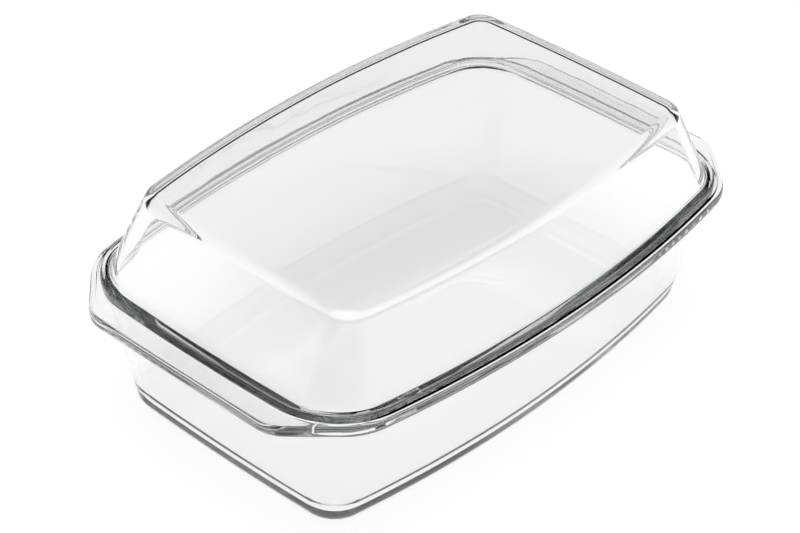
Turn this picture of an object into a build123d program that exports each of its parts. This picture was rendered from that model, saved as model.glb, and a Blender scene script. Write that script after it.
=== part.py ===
"""Lidded rectangular glass baking dish.

A deep tapered dish has a thick rim, flat grips at both ends and a shallow seat all round its mouth.
A domed lid has a flange that drops into that seat. Both pieces are pressed glass.

The origin is the centre of the underside, +X runs along the length and +Z is up. Sizes are in
millimetres. Long sides and ends bow outwards, so half lengths and half widths are taken on the axes.
"""
import os
from math import asin, cos, degrees, radians, sqrt, tan

from build123d import *

# Bow of the long sides and of the ends, shared by every outline
side_bow_radius = 700.0
end_bow_radius = 1400.0

# Lid flange, which sets the size of the seat and of everything round it
flange_length = 304.0
flange_width = 202.2
flange_corner = 41.0
flange_thickness = 5.0
flange_reach_ends = 7.6  # from the foot of the lid wall to the flange edge
flange_reach_sides = 5.4
lid_foot_corner = 28.0
flange_top_round = 1.6
flange_bottom_round = 1.2

# Lid dome
lid_draft_ends = 25.9  # slopes of the dome's walls, in degrees from the vertical
lid_draft_sides = 22.2
lid_top_corner = 13.0
lid_rise = 41.2  # from the flange's top face to the lid's flat top
lid_wall = 5.0
lid_top_round = 4.5
lid_inside_round = 5.0
lid_foot_round = 2.0

# Mould lug that squares off the flange's rounded edge
lug_length = 7.5
lug_width = 3.2
lug_height = 0.5  # above the flange's top face
lug_depth = 2.2  # below the flange's top face
lug_inset = 0.2  # from the flange's outer face
lug_offset = 103.0  # from the middle of the long side, towards the -X end

# Dish
rim_height = 77.0  # from the surface it stands on to the rim's flat top
dish_draft = 11.7  # slope of the walls, in degrees from the vertical
dish_wall = 4.8
dish_floor = 5.0
base_round = 9.0
cavity_round = 12.0

# Seat and rim
seat_depth = 2.5
seat_clearance = 0.9
seat_ledge_ends = 8.3  # flat that the flange rests on
seat_ledge_sides = 8.9
mouth_corner = 28.0
seat_round = 0.8
ledge_round = 1.0
rim_depth = 6.5
rim_land = 2.7  # from the seat to the rim's outer face, on the long sides
rim_top_round = 1.5
rim_bottom_round = 2.2
rim_root_round = 2.5

# End grips
grip_reach = 12.1  # from the seat to the end of the grip
slant_land = 4.3  # from the seat's corner to the grip's slanting corner
slant_angle = 45
grip_side_round = 35.0
grip_end_round = 20.0

# How closely a face's height is matched when it is looked up
tolerance = 0.01

# Outlines that follow from the sizes above
flange_outline = (flange_length / 2, flange_width / 2, flange_corner)
lid_foot_outline = (
    flange_length / 2 - flange_reach_ends,
    flange_width / 2 - flange_reach_sides,
    lid_foot_corner,
)
lid_top_outline = (
    lid_foot_outline[0] - lid_rise * tan(radians(lid_draft_ends)),
    lid_foot_outline[1] - lid_rise * tan(radians(lid_draft_sides)),
    lid_top_corner,
)
seat_outline = tuple(size + seat_clearance for size in flange_outline)
mouth_outline = (seat_outline[0] - seat_ledge_ends, seat_outline[1] - seat_ledge_sides, mouth_corner)
rim_half_length = seat_outline[0] + grip_reach
rim_half_width = seat_outline[1] + rim_land

# Heights that follow from the sizes above
seat_height = rim_height - seat_depth
flange_top = seat_height + flange_thickness
lid_top = flange_top + lid_rise


def between(low, high, share):
    """Blend two outlines, where share 0 is the low one and 1 the high one."""
    return tuple(a + (b - a) * share for a, b in zip(low, high))


def inset(outline, amount):
    """Shrink an outline by the same amount all round."""
    return tuple(size - amount for size in outline)


def bowed_rectangle(height, outline):
    """Draw a rectangle with bowed sides and rounded corners, flat at the given height."""
    half_length, half_width, corner = outline
    end_sag = end_bow_radius - sqrt(end_bow_radius**2 - half_width**2)
    x = half_length - end_sag
    side_sag = side_bow_radius - sqrt(side_bow_radius**2 - x**2)
    y = half_width - side_sag
    with BuildSketch(Plane.XY.offset(height)) as sketch:
        with BuildLine():
            ThreePointArc((-x, -y), (0, -half_width), (x, -y))
            ThreePointArc((x, -y), (half_length, 0), (x, y))
            ThreePointArc((x, y), (0, half_width), (-x, y))
            ThreePointArc((-x, y), (-half_length, 0), (-x, -y))
        make_face()
        fillet(sketch.vertices(), radius=corner)
    return sketch.sketch


def at_an_end(vertex):
    """True for a corner of the rim outline on the straight end of a grip."""
    return abs(vertex.X) > rim_half_length - tolerance


def inside_the_ends(vertex):
    """True for a corner of the rim outline between its two grips."""
    return not at_an_end(vertex)


def rim_plate_outline(height):
    """Draw the rim with its end grips: bowed long sides, square ends and slanting corners."""
    long_side = side_bow_radius - rim_half_width
    turned_seat = bowed_rectangle(height, seat_outline).rotate(Axis.Z, slant_angle).bounding_box()
    slant_square = turned_seat.size.X + 2 * slant_land
    with BuildSketch(Plane.XY.offset(height)) as sketch:
        with Locations((0, -long_side)):
            Circle(side_bow_radius)
        with Locations((0, long_side)):
            Circle(side_bow_radius, mode=Mode.INTERSECT)
        Rectangle(2 * rim_half_length, 2 * rim_half_width, mode=Mode.INTERSECT)
        Rectangle(slant_square, slant_square, rotation=slant_angle, mode=Mode.INTERSECT)
        fillet(sketch.vertices().filter_by(inside_the_ends), radius=grip_side_round)
        fillet(sketch.vertices().filter_by(at_an_end), radius=grip_end_round)
    return sketch.sketch


def level_face(part, height):
    """The largest horizontal face of the part at one height."""
    flat = part.faces().filter_by(Axis.Z)
    return flat.filter_by_position(Axis.Z, height - tolerance, height + tolerance).sort_by(SortBy.AREA)[-1]


# Dish: tapered body and flat rim plate, with the seat and the hollow cut into it
draft_slope = tan(radians(dish_draft))
hollow_depth = seat_height - dish_floor
base_outline = inset(mouth_outline, seat_height * draft_slope - dish_wall)
floor_outline = inset(mouth_outline, hollow_depth * draft_slope)

with BuildPart() as dish:
    extrude(bowed_rectangle(0, base_outline), amount=seat_height, taper=-dish_draft)
    fillet(level_face(dish, 0).edges(), radius=base_round)
    extrude(rim_plate_outline(rim_height - rim_depth), amount=rim_depth)
    underside = level_face(dish, rim_height - rim_depth)
    fillet(underside.inner_wires()[0].edges(), radius=rim_root_round)
    underside = level_face(dish, rim_height - rim_depth)
    fillet(underside.outer_wire().edges(), radius=rim_bottom_round)
    fillet(level_face(dish, rim_height).outer_wire().edges(), radius=rim_top_round)
    extrude(bowed_rectangle(seat_height, seat_outline), amount=seat_depth, mode=Mode.SUBTRACT)
    floor_plan = bowed_rectangle(dish_floor, floor_outline)
    extrude(floor_plan, amount=hollow_depth, taper=-dish_draft, mode=Mode.SUBTRACT)
    fillet(level_face(dish, dish_floor).edges(), radius=cavity_round)
    fillet(level_face(dish, seat_height).inner_wires()[0].edges(), radius=ledge_round)
    fillet(level_face(dish, rim_height).inner_wires()[0].edges(), radius=seat_round)

# Lid: domed shell on a flange that sits in the dish's seat
roof_height = lid_top - lid_wall
below_foot = -flange_thickness / lid_rise
below_roof = 1 - lid_wall / lid_rise
dome_mouth_outline = inset(between(lid_foot_outline, lid_top_outline, below_foot), lid_wall)
dome_roof_outline = inset(between(lid_foot_outline, lid_top_outline, below_roof), lid_wall)
lug_angle = asin(lug_offset / side_bow_radius)
lug_edge = flange_width / 2 - side_bow_radius * (1 - cos(lug_angle))
lug_centre = lug_edge - lug_inset - lug_width / 2
lug_middle = flange_top + (lug_height - lug_depth) / 2

with BuildPart() as lid:
    extrude(bowed_rectangle(seat_height, flange_outline), amount=flange_thickness)
    loft([bowed_rectangle(flange_top, lid_foot_outline), bowed_rectangle(lid_top, lid_top_outline)])
    fillet(level_face(lid, lid_top).edges(), radius=lid_top_round)
    fillet(level_face(lid, flange_top).inner_wires()[0].edges(), radius=lid_foot_round)
    fillet(level_face(lid, flange_top).outer_wire().edges(), radius=flange_top_round)
    dome = [bowed_rectangle(seat_height, dome_mouth_outline), bowed_rectangle(roof_height, dome_roof_outline)]
    loft(dome, mode=Mode.SUBTRACT)
    fillet(level_face(lid, roof_height).edges(), radius=lid_inside_round)
    fillet(level_face(lid, seat_height).outer_wire().edges(), radius=flange_bottom_round)
    fillet(level_face(lid, seat_height).inner_wires()[0].edges(), radius=ledge_round)
    with Locations(Location((-lug_offset, -lug_centre, lug_middle), (0, 0, -degrees(lug_angle)))):
        Box(lug_length, lug_width, lug_height + lug_depth)

os.makedirs("parts", exist_ok=True)
for name, piece in (("dish", dish.part), ("lid", lid.part)):
    piece.label = name
    export_step(piece, f"parts/{name}.step")
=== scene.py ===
"""Looks for the lidded glass baking dish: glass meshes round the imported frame, floor, light and camera."""
import math

import bpy
import numpy as np
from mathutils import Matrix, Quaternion, Vector, noise


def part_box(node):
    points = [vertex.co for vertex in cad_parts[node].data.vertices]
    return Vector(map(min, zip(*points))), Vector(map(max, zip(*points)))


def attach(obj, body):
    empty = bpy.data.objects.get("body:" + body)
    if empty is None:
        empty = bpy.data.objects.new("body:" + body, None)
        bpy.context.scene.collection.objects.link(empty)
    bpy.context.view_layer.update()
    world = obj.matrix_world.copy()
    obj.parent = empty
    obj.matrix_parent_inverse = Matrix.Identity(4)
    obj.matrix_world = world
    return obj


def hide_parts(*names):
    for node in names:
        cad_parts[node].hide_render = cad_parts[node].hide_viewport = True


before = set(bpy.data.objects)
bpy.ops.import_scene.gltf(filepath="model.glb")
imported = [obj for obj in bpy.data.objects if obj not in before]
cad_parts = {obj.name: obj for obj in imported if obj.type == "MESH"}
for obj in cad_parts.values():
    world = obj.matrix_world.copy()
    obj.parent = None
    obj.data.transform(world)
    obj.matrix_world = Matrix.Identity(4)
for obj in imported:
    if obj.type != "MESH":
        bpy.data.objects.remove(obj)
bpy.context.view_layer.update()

MM = 0.001

# Heights and overall sizes come from the frame, and section sizes repeat the part's own
dish_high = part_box("dish")[1]
lid_low, lid_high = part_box("lid")

side_bow = 700 * MM
end_bow = 1400 * MM
grip_bow = 4000 * MM  # the grip's end and slants are all but straight
slant_bow = 2000 * MM

rim_height = dish_high[2]
seat_height = lid_low[2]
rim_half_length = dish_high[0]
rim_half_width = dish_high[1]
flange_half_length = lid_high[0]
flange_half_width = lid_high[1]
lid_height = lid_high[2]

flange_corner = 41 * MM
flange_thickness = 5 * MM
flange_reach_ends = 7.6 * MM
flange_reach_sides = 5.4 * MM
flange_top_round = 1.6 * MM
flange_bottom_round = 1.2 * MM
lid_foot_corner = 28 * MM
lid_foot_round = 2 * MM
lid_draft_ends = math.radians(25.9)
lid_draft_sides = math.radians(22.2)
lid_top_corner = 13 * MM
lid_top_round = 4.5 * MM
lid_wall = 5 * MM
lid_inside_round = 5 * MM

seat_clearance = 0.9 * MM
seat_ledge_ends = 8.3 * MM
seat_ledge_sides = 8.9 * MM
seat_round = 0.8 * MM
ledge_round = 1 * MM
mouth_corner = 28 * MM
dish_draft = math.radians(11.7)
dish_wall = 4.8 * MM
dish_floor = 5 * MM
base_round = 9 * MM
cavity_round = 12 * MM
rim_depth = 6.5 * MM
rim_top_round = 1.5 * MM
grip_top_round = 3 * MM  # the grips' top edges are softer than the long sides'
rim_bottom_round = 2.2 * MM
rim_root_round = 2.5 * MM
slant_land = 4.3 * MM
grip_side_round = 35 * MM
grip_end_round = 20 * MM
crease_round = 0.3 * MM  # where the part's own corner is sharp
air_gap = 0.05 * MM  # between the lid's flange and the ledge it rests on

lug_length = 7.5 * MM
lug_width = 3.2 * MM
lug_height = 0.5 * MM
lug_depth = 2.2 * MM
lug_inset = 0.2 * MM
lug_offset = 103 * MM
lug_rise = 0.04 * MM  # run over which the lug's upright back rises

dish_swell = 0.10 * MM  # how far the plunger leaves an inner surface uneven
lid_swell = 0.16 * MM
mouth_rings = 6  # rings at the mouth of an inner surface, which stay even
field_rings = 24  # rings that close a flat field

glass_tint = (0.862, 0.866, 0.866, 1)

flange_top = seat_height + flange_thickness
lid_rise = lid_height - flange_top


# ---------------------------------------------------------------- outlines

def outline_directions():
    """Outward directions round an outline, close together where the long arcs lie."""
    # Degrees from the +X axis, for one quarter
    lug_end_spread = 0.015
    end = np.arange(0, 5, 0.16)
    low_corner = np.arange(5, 44, 2.2)
    slant = np.arange(44, 46, 0.25)
    high_corner = np.arange(46, 77, 2.2)
    lug_ends = 90 - np.degrees(np.arcsin((lug_offset + lug_length / 2 * np.array([1, -1])) / side_bow))
    lug = np.concatenate([lug_ends - lug_end_spread, lug_ends + lug_end_spread])
    side = np.sort(np.concatenate([np.linspace(77, 90, 53), lug]))
    quarter = np.radians(np.concatenate([end, low_corner, slant, high_corner, side]))
    half = np.concatenate([quarter, np.pi - quarter[-2::-1]])
    return np.concatenate([half, half[1:-1] + np.pi])


angles = outline_directions()
normals = np.stack([np.cos(angles), np.sin(angles)], axis=1)


def tangent_centre(first, first_radius, second, second_radius):
    """Centre of the small circle that touches two big ones from the inside, in the first quarter."""
    between = second - first
    gap = np.hypot(*between)
    along = (first_radius**2 - second_radius**2 + gap**2) / (2 * gap)
    across = math.sqrt(max(first_radius**2 - along**2, 0))
    foot = first + between * along / gap
    sideways = np.array([-between[1], between[0]]) / gap * across
    return max((foot + sideways, foot - sideways), key=lambda point: point[0] + point[1])


def arc_outline(arcs):
    """Points of a doubly symmetric outline of tangent arcs, [(centre, radius), ...] from end to side."""
    folded = np.abs(normals)
    points = np.empty_like(folded)
    turn = np.arctan2(folded[:, 1], folded[:, 0])
    start = -1.0
    for number, (centre, radius) in enumerate(arcs):
        if number + 1 < len(arcs):
            step = np.sign(radius - arcs[number + 1][1]) * (arcs[number + 1][0] - centre)
            stop = math.atan2(step[1], step[0])
        else:
            stop = math.pi
        chosen = (turn > start) & (turn <= stop)
        points[chosen] = centre + radius * folded[chosen]
        start = stop
    return points * np.sign(np.round(normals, 12))


def bowed_rectangle(half_length, half_width, corner):
    """Rectangle with bowed sides and rounded corners."""
    end_centre = np.array([half_length - end_bow, 0.0])
    side_centre = np.array([0.0, half_width - side_bow])
    centre = tangent_centre(end_centre, end_bow - corner, side_centre, side_bow - corner)
    return arc_outline([(end_centre, end_bow), (centre, corner), (side_centre, side_bow)])


def rim_plan():
    """The rim's outer outline with its end grips."""
    end_centre = np.array([rim_half_length - grip_bow, 0.0])
    side_centre = np.array([0.0, rim_half_width - side_bow])
    reach = (seat_plan.sum(axis=1) / math.sqrt(2)).max() + slant_land
    slant_centre = np.array([1.0, 1.0]) / math.sqrt(2) * (reach - slant_bow)
    low = tangent_centre(end_centre, grip_bow - grip_end_round, slant_centre, slant_bow - grip_end_round)
    high = tangent_centre(slant_centre, slant_bow - grip_side_round, side_centre, side_bow - grip_side_round)
    return arc_outline([
        (end_centre, grip_bow), (low, grip_end_round), (slant_centre, slant_bow),
        (high, grip_side_round), (side_centre, side_bow),
    ])


flange_plan = bowed_rectangle(flange_half_length, flange_half_width, flange_corner)
seat_plan = flange_plan + normals * seat_clearance
grip_share = np.clip((np.abs(normals[:, :1]) - 0.25) / 0.4, 0, 1)  # none on the long sides, all on the grips
mouth_plan = bowed_rectangle(
    flange_half_length + seat_clearance - seat_ledge_ends,
    flange_half_width + seat_clearance - seat_ledge_sides,
    mouth_corner,
)
rim_outline = rim_plan()
foot_half_length = flange_half_length - flange_reach_ends
foot_half_width = flange_half_width - flange_reach_sides
lid_foot_plan = bowed_rectangle(foot_half_length, foot_half_width, lid_foot_corner)
lid_top_plan = bowed_rectangle(
    foot_half_length - lid_rise * math.tan(lid_draft_ends),
    foot_half_width - lid_rise * math.tan(lid_draft_sides),
    lid_top_corner,
)
reach_out = lid_foot_plan - lid_top_plan
lid_slope = float(np.hypot(*reach_out.T).mean() / lid_rise)


# ---------------------------------------------------------------- sections

def rounded_section(corners, spacing=6 * MM, arc_step=math.radians(11)):
    """Points along a section given as [(out, up, radius), ...], with its corners rounded."""
    points = []
    last = np.array(corners[0][:2])
    points.append(last)
    for before, corner, after in zip(corners, corners[1:], corners[2:]):
        here = np.array(corner[:2])
        came = here - np.array(before[:2])
        goes = np.array(after[:2]) - here
        came, goes = came / np.hypot(*came), goes / np.hypot(*goes)
        turn = math.atan2(came[0] * goes[1] - came[1] * goes[0], came @ goes)
        tangent = corner[2] * math.tan(abs(turn) / 2)
        start = here - came * tangent
        points += straight_run(last, start, spacing)
        side = np.array([-came[1], came[0]]) * np.sign(turn)
        centre = start + side * corner[2]
        spoke = start - centre
        for share in np.linspace(0, 1, max(3, math.ceil(abs(turn) / arc_step)) + 1):
            angle = turn * share
            cosine, sine = math.cos(angle), math.sin(angle)
            turned = np.array([spoke[0] * cosine - spoke[1] * sine, spoke[0] * sine + spoke[1] * cosine])
            points.append(centre + turned)
        last = points[-1]
    points += straight_run(last, np.array(corners[-1][:2]), spacing)
    points.append(np.array(corners[-1][:2]))
    return points


def straight_run(start, stop, spacing):
    """Points between two ends of a straight, with one close to each end that holds the shading."""
    length = np.hypot(*(stop - start))
    guard = min(0.35 * MM, length / 4)
    count = max(1, round(length / spacing))
    shares = np.linspace(guard / length, 1 - guard / length, count + 1)
    return [start + (stop - start) * share for share in shares]


def rings_on(plan, section):
    """Rings of 3-D points, one for each section point, offset from a plan outline."""
    return [np.column_stack([plan + normals * out, np.full(len(plan), up)]) for out, up in section]


def dome_rings(section):
    """Rings on the lid's tapered wall, whose outline changes from its foot to its top."""
    rings = []
    for out, up in section:
        share = (up - flange_top) / lid_rise
        plan = lid_foot_plan + (lid_top_plan - lid_foot_plan) * share
        rings += rings_on(plan, [(out, up)])
    return rings


def disc_rings(edge):
    """Rings that close a flat field from its edge towards its middle."""
    return [edge * [share, share, 1] for share in np.linspace(1, 0, field_rings + 1)[1:-1]]


def solid_mesh(name, rings, collection):
    """Closed mesh of rings in order, with a point at the middle of the first and of the last."""
    around = len(normals)
    first = np.array([[0, 0, rings[0][0, 2]]])
    last = np.array([[0, 0, rings[-1][0, 2]]])
    points = np.vstack([first, *rings, last])
    step = np.arange(around)
    follow = (step + 1) % around
    faces = [[0, 1 + b, 1 + a] for a, b in zip(step, follow)]
    for ring in range(len(rings) - 1):
        low, high = 1 + ring * around, 1 + (ring + 1) * around
        faces += np.column_stack([low + step, low + follow, high + follow, high + step]).tolist()
    base = 1 + (len(rings) - 1) * around
    top = len(points) - 1
    faces += [[base + a, base + b, top] for a, b in zip(step, follow)]
    mesh = bpy.data.meshes.new(name)
    mesh.from_pydata(points.tolist(), [], faces)
    mesh.shade_smooth()
    piece = bpy.data.objects.new(name, mesh)
    collection.objects.link(piece)
    return piece


def dish_rings():
    """The dish's surface, from the middle of its underside round the rim to the middle of its floor."""
    slope = math.tan(dish_draft)
    under = rim_height - rim_depth
    ledge = seat_height - air_gap
    foot = dish_wall - seat_height * slope
    root = dish_wall - (seat_height - under) * slope
    outside = rounded_section([
        (foot - 1.1 * base_round, 0, 0), (foot, 0, base_round), (root, under, rim_root_round),
        (root + 1.5 * rim_root_round, under, 0)])
    plain_rim = rings_on(rim_outline, rim_section(rim_top_round))
    soft_rim = rings_on(rim_outline, rim_section(grip_top_round))
    rim = [plain + (soft - plain) * grip_share for plain, soft in zip(plain_rim, soft_rim)]
    seat = rounded_section([
        (1.1 * seat_round, rim_height, 0), (0, rim_height, seat_round),
        (0, ledge, crease_round), (-2 * seat_round, ledge, 0)])
    inside = rounded_section([
        (2 * ledge_round, ledge, 0), (0, ledge, ledge_round),
        (-(ledge - dish_floor) * slope, dish_floor, cavity_round),
        (-(ledge - dish_floor) * slope - 0.9 * cavity_round, dish_floor, 0)])
    outer = rings_on(mouth_plan, outside)
    inner = rings_on(mouth_plan, inside)
    cavity = [swollen(ring, dish_swell) for ring in inner[mouth_rings:]]
    return [
        *disc_rings(outer[0])[::-1], *outer, *rim, *rings_on(seat_plan, seat),
        *inner[:mouth_rings], *cavity, *disc_rings(cavity[-1])]


def rim_section(top_round):
    """The rim plate's edge, from its underside to its top face."""
    return rounded_section([
        (-1.4 * rim_bottom_round, rim_height - rim_depth, 0),
        (0, rim_height - rim_depth, rim_bottom_round), (0, rim_height, top_round),
        (-1.1 * grip_top_round, rim_height, 0)])


def swollen(ring, amount):
    """Move a ring's points in and out a little, as the plunger leaves a pressed inner surface."""
    broad_scale, fine_scale, fine_share = 28, 75, 0.35
    elsewhere = Vector((5, 5, 5))
    moved = ring.copy()
    for point, normal in zip(moved, normals):
        broad = noise.noise(Vector(point) * broad_scale)
        fine = noise.noise(Vector(point) * fine_scale + elsewhere)
        corner = 1 + 3 * abs(normal[0] * normal[1])  # stronger round the corners
        point[:2] += normal * amount * corner * (broad + fine_share * fine)
    return moved


def lean(out, up):
    """Turn a true distance from the lid's top edge into one measured from its slanting wall."""
    return (out - lid_slope * (lid_height - up), up)


def lid_rings():
    """The lid's surface, from the middle of its top round the flange to the middle of its roof."""
    roof = lid_height - lid_wall
    foot = lid_slope * lid_rise
    below = lid_slope * (lid_height - seat_height)
    outside = rounded_section([
        (-1.1 * lid_top_round, lid_height, 0), (0, lid_height, lid_top_round),
        (foot, flange_top, lid_foot_round), (foot + lid_foot_round, flange_top, 0)])
    lug_back = -lug_inset - lug_width
    flange = [np.array([lug_back + step, flange_top]) for step in (-lug_rise / 2, lug_rise / 2)]
    flange += rounded_section([
        (-1.2 * flange_top_round, flange_top, 0), (0, flange_top, flange_top_round),
        (0, seat_height, flange_bottom_round), (-2 * flange_bottom_round, seat_height, 0)])
    inside = rounded_section([
        (below - lid_wall + 2 * ledge_round, seat_height, 0), (below - lid_wall, seat_height, ledge_round),
        (lid_slope * lid_wall - lid_wall, roof, lid_inside_round),
        (lid_slope * lid_wall - lid_wall - 1.1 * lid_inside_round, roof, 0)])
    outer = dome_rings([lean(*point) for point in outside])
    inner = dome_rings([lean(*point) for point in inside])
    hollow = [swollen(ring, lid_swell) for ring in inner[mouth_rings:]]
    return [
        *disc_rings(outer[0])[::-1], *outer, *with_lug(rings_on(flange_plan, flange), flange),
        *inner[:mouth_rings], *hollow, *disc_rings(hollow[-1])]


def with_lug(rings, section):
    """Square off the flange's rounded edge over the length of the mould lug."""
    first = rings[0]
    inside = (np.abs(first[:, 0] + lug_offset) < lug_length / 2) & (first[:, 1] < 0)
    edge = flange_plan[inside] - normals[inside] * lug_inset
    for ring, (out, up) in zip(rings[1:], section[1:]):
        if up > flange_top - lug_depth:
            if out > -lug_inset - flange_top_round:
                ring[inside, :2] = edge
            if up > flange_top - flange_top_round / 2:
                ring[inside, 2] = flange_top + lug_height
    return rings


# ---------------------------------------------------------------- glass

def glass_material(name):
    """Clear pressed glass: faint surface swell and a slight body tint that shows along thick edges."""
    material = bpy.data.materials.new(name)
    material.use_nodes = True
    tree = material.node_tree
    tree.nodes.clear()
    output = tree.nodes.new("ShaderNodeOutputMaterial")
    shader = tree.nodes.new("ShaderNodeBsdfPrincipled")
    shader.inputs["Base Color"].default_value = (1, 1, 1, 1)
    shader.inputs["Roughness"].default_value = 0.0
    shader.inputs["IOR"].default_value = 1.474
    shader.inputs["Transmission Weight"].default_value = 1.0
    place = tree.nodes.new("ShaderNodeTexCoord")
    swell = tree.nodes.new("ShaderNodeTexNoise")
    swell.inputs["Scale"].default_value = 38.0
    swell.inputs["Detail"].default_value = 1.0
    bump = tree.nodes.new("ShaderNodeBump")
    bump.inputs["Strength"].default_value = 0.06
    bump.inputs["Distance"].default_value = 0.001
    body = tree.nodes.new("ShaderNodeVolumeAbsorption")
    body.inputs["Color"].default_value = glass_tint
    body.inputs["Density"].default_value = 26.0
    link = tree.links.new
    link(place.outputs["Object"], swell.inputs["Vector"])
    link(swell.outputs["Fac"], bump.inputs["Height"])
    link(bump.outputs["Normal"], shader.inputs["Normal"])
    link(shader.outputs["BSDF"], output.inputs["Surface"])
    link(body.outputs["Volume"], output.inputs["Volume"])
    return material


# ---------------------------------------------------------------- pieces

collection = bpy.context.scene.collection
dish_piece = solid_mesh("dish_glass", dish_rings(), collection)
lid_piece = solid_mesh("lid_glass", lid_rings()[::-1], collection)
for piece, body, slot in ((dish_piece, "dish", "dish_glass"), (lid_piece, "lid", "lid_glass")):
    piece.data.materials.append(glass_material(slot))
    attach(piece, body)
    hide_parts(body)


# ---------------------------------------------------------------- studio

def floor_material():
    """White sweep that glows, so that it stays even under and behind the glass."""
    material = bpy.data.materials.new("studio_floor")
    material.use_nodes = True
    tree = material.node_tree
    tree.nodes.clear()
    output = tree.nodes.new("ShaderNodeOutputMaterial")
    both = tree.nodes.new("ShaderNodeAddShader")
    glow = tree.nodes.new("ShaderNodeEmission")
    glow.inputs["Color"].default_value = (1, 1, 1, 1)
    glow.inputs["Strength"].default_value = 0.80
    matt = tree.nodes.new("ShaderNodeBsdfDiffuse")
    matt.inputs["Color"].default_value = (0.8, 0.8, 0.8, 1)
    tree.links.new(glow.outputs["Emission"], both.inputs[0])
    tree.links.new(matt.outputs["BSDF"], both.inputs[1])
    tree.links.new(both.outputs["Shader"], output.inputs["Surface"])
    return material


def studio_floor():
    """Wide square floor, a hair below the dish so that the two don't touch."""
    half = 6.0
    corners = [(-half, -half, 0), (half, -half, 0), (half, half, 0), (-half, half, 0)]
    mesh = bpy.data.meshes.new("studio_floor")
    mesh.from_pydata(corners, [], [(0, 1, 2, 3)])
    mesh.materials.append(floor_material())
    floor = bpy.data.objects.new("studio_floor", mesh)
    floor.location.z = -0.5 * MM
    collection.objects.link(floor)


def studio_world():
    """White low down and overhead, one grey screen, and dark elsewhere to draw the glass's edges."""
    by_height = ((0.0, 1.0), (0.06, 1.0), (0.12, 0.02), (0.80, 0.02), (0.88, 1.0))
    by_turn = ((0.0, 0.01), (0.08, 0.01), (0.12, 0.25), (0.2, 0.25), (0.24, 0.01), (1.0, 0.01))
    world = bpy.data.worlds.new("studio")
    bpy.context.scene.world = world
    world.use_nodes = True
    tree = world.node_tree
    tree.nodes.clear()
    output = tree.nodes.new("ShaderNodeOutputWorld")
    sky = tree.nodes.new("ShaderNodeBackground")
    heights = tree.nodes.new("ShaderNodeValToRGB")
    split = tree.nodes.new("ShaderNodeSeparateXYZ")
    place = tree.nodes.new("ShaderNodeTexCoord")
    around = tree.nodes.new("ShaderNodeMath")
    around.operation = "ARCTAN2"
    share = tree.nodes.new("ShaderNodeMapRange")
    share.inputs["From Min"].default_value = -math.pi
    share.inputs["From Max"].default_value = math.pi
    screens = tree.nodes.new("ShaderNodeValToRGB")
    both = tree.nodes.new("ShaderNodeMix")
    both.data_type = "RGBA"
    both.blend_type = "LIGHTEN"
    both.inputs["Factor"].default_value = 1.0
    spread_stops(heights.color_ramp, by_height)
    spread_stops(screens.color_ramp, by_turn)
    link = tree.links.new
    link(place.outputs["Generated"], split.inputs["Vector"])
    link(split.outputs["Z"], heights.inputs["Fac"])
    link(split.outputs["Y"], around.inputs[0])
    link(split.outputs["X"], around.inputs[1])
    link(around.outputs["Value"], share.inputs["Value"])
    link(share.outputs["Result"], screens.inputs["Fac"])
    link(heights.outputs["Color"], both.inputs[6])  # the mix node's colour sockets go by number
    link(screens.outputs["Color"], both.inputs[7])
    link(both.outputs[2], sky.inputs["Color"])
    link(sky.outputs["Background"], output.inputs["Surface"])


def spread_stops(ramp, stops):
    """Give a colour ramp grey stops of (position, level)."""
    while len(ramp.elements) > 1:
        ramp.elements.remove(ramp.elements[-1])
    first_position, first_level = stops[0]
    ramp.elements[0].position = first_position
    ramp.elements[0].color = (first_level, first_level, first_level, 1)
    for position, level in stops[1:]:
        ramp.elements.new(position).color = (level, level, level, 1)


def studio_camera():
    """Looks at the dish from above its near left corner with a long lens."""
    around = math.radians(-48.5)
    above = math.radians(36.12)
    roll = math.radians(1.957)
    distance = 1.2188
    target = Vector((-0.00603, 0.00518, 0.04991))
    back = Vector((math.sin(around) * math.cos(above), -math.cos(around) * math.cos(above), math.sin(above)))
    data = bpy.data.cameras.new("camera")
    data.lens = 108.8
    data.sensor_width = 36.0
    camera = bpy.data.objects.new("camera", data)
    camera.location = target + back * distance
    level = (-back).to_track_quat("-Z", "Y")
    camera.rotation_euler = (level @ Quaternion((0, 0, 1), roll)).to_euler()
    collection.objects.link(camera)
    bpy.context.scene.camera = camera


studio_floor()
studio_world()
studio_camera()

scene = bpy.context.scene
scene.view_settings.view_transform = "Standard"
scene.cycles.max_bounces = 96  # light runs a long way along the glass before it leaves
scene.cycles.transmission_bounces = 96
scene.cycles.glossy_bounces = 96
scene.cycles.diffuse_bounces = 3
